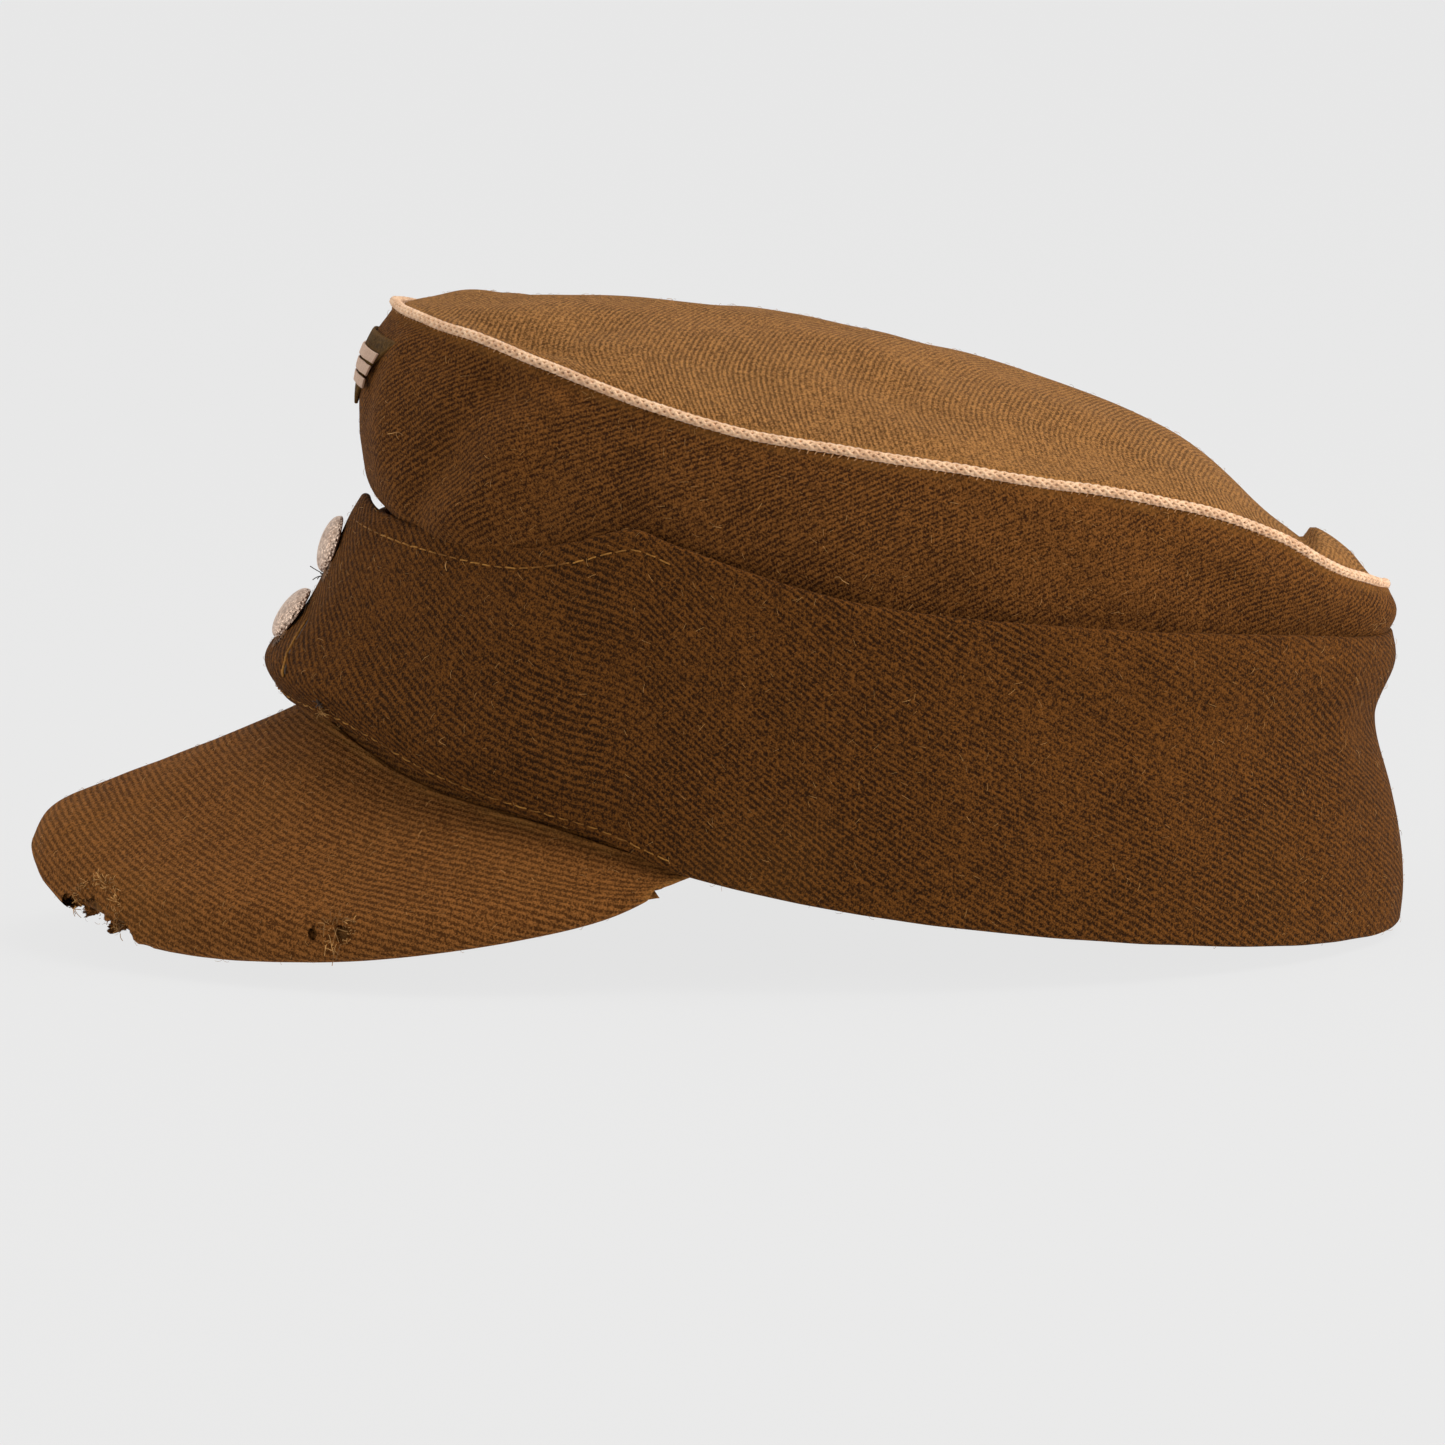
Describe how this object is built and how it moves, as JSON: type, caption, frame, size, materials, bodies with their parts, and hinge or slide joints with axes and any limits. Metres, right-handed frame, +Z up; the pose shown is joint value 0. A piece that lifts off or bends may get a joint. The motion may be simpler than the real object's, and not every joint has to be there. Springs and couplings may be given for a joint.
{
  "type": "military peaked cap",
  "caption": "Soft brown wool field cap with a stiff cloth-covered peak, piped oval crown and a turned-up flap whose front tabs button together.",
  "frame": {"origin": "on the surface that the cap rests on, midway between the tip of the peak and the back of the flap", "axes": "+Z up, -Y forwards through the peak, +X towards the wearer's left"},
  "size_m": [0.1642, 0.2842, 0.1316],
  "materials": {
    "wool_cloth": "brown wool twill, fine and slightly felted",
    "wool_twill": "brown wool twill with clear slanting ribs",
    "piping": "braided cream and peach cord",
    "stiffener": "coarse natural canvas",
    "lining": "thin woven cotton lining",
    "sweatband": "smooth worn leather strip",
    "board": "pressed fibre board",
    "facing": "thin brown wool cloth",
    "thread": "dark sewing thread",
    "badge_cloth": "dark olive brown felt",
    "badge_thread": "light peach woven thread",
    "button_metal": "pebbled silvery metal, slightly worn"
  },
  "bodies": {
    "cap": {"crown_top_panel": "wool_cloth", "crown_side_left": "wool_cloth", "crown_side_right": "wool_cloth", "crown_piping": "piping", "front_interlining": "stiffener", "lining_left": "lining", "lining_right": "lining", "lining_top": "lining", "sweatband": "sweatband", "front_band": "wool_cloth", "peak_top_cloth": "wool_cloth", "peak_board": "board", "peak_under_cloth": "wool_cloth", "left_flap_side": "wool_twill", "left_flap_side_facing": "facing", "right_flap_side": "wool_twill", "right_flap_side_facing": "facing", "badge_backing": "badge_cloth", "badge_bars": "badge_thread"},
    "left_tab": {"left_flap_tab": "wool_twill", "left_flap_tab_facing": "facing", "upper_buttonhole": "thread", "lower_buttonhole": "thread"},
    "right_tab": {"right_flap_tab": "wool_twill", "right_flap_tab_facing": "facing"},
    "upper_button": {"upper_button_dome": "button_metal", "upper_button_back": "button_metal", "upper_button_loop": "button_metal", "upper_button_thread": "thread"},
    "lower_button": {"lower_button_dome": "button_metal", "lower_button_back": "button_metal", "lower_button_loop": "button_metal", "lower_button_thread": "thread"}
  },
  "joints": [
    {"name": "left_tab_swing", "type": "hinge", "parent": "cap", "child": "left_tab", "pos_m": [0.0826, -0.005, 0.05], "axis": [0, 0, 1], "range_deg": [0, 85]},
    {"name": "right_tab_swing", "type": "hinge", "parent": "cap", "child": "right_tab", "pos_m": [-0.0826, -0.005, 0.05], "axis": [0, 0, 1], "range_deg": [-56, 0]},
    {"name": "upper_button_turn", "type": "hinge", "parent": "right_tab", "child": "upper_button", "pos_m": [0, -0.07685, 0.0803], "axis": [0, -0.9397, 0.342], "range_deg": [-25, 25]},
    {"name": "lower_button_turn", "type": "hinge", "parent": "right_tab", "child": "lower_button", "pos_m": [0, -0.08538, 0.0658], "axis": [0, -0.7986, 0.6018], "range_deg": [-25, 25]}
  ],
  "couplings": [
    {"joint": "right_tab_swing", "follows": "left_tab_swing", "ratio": -0.65}
  ]
}
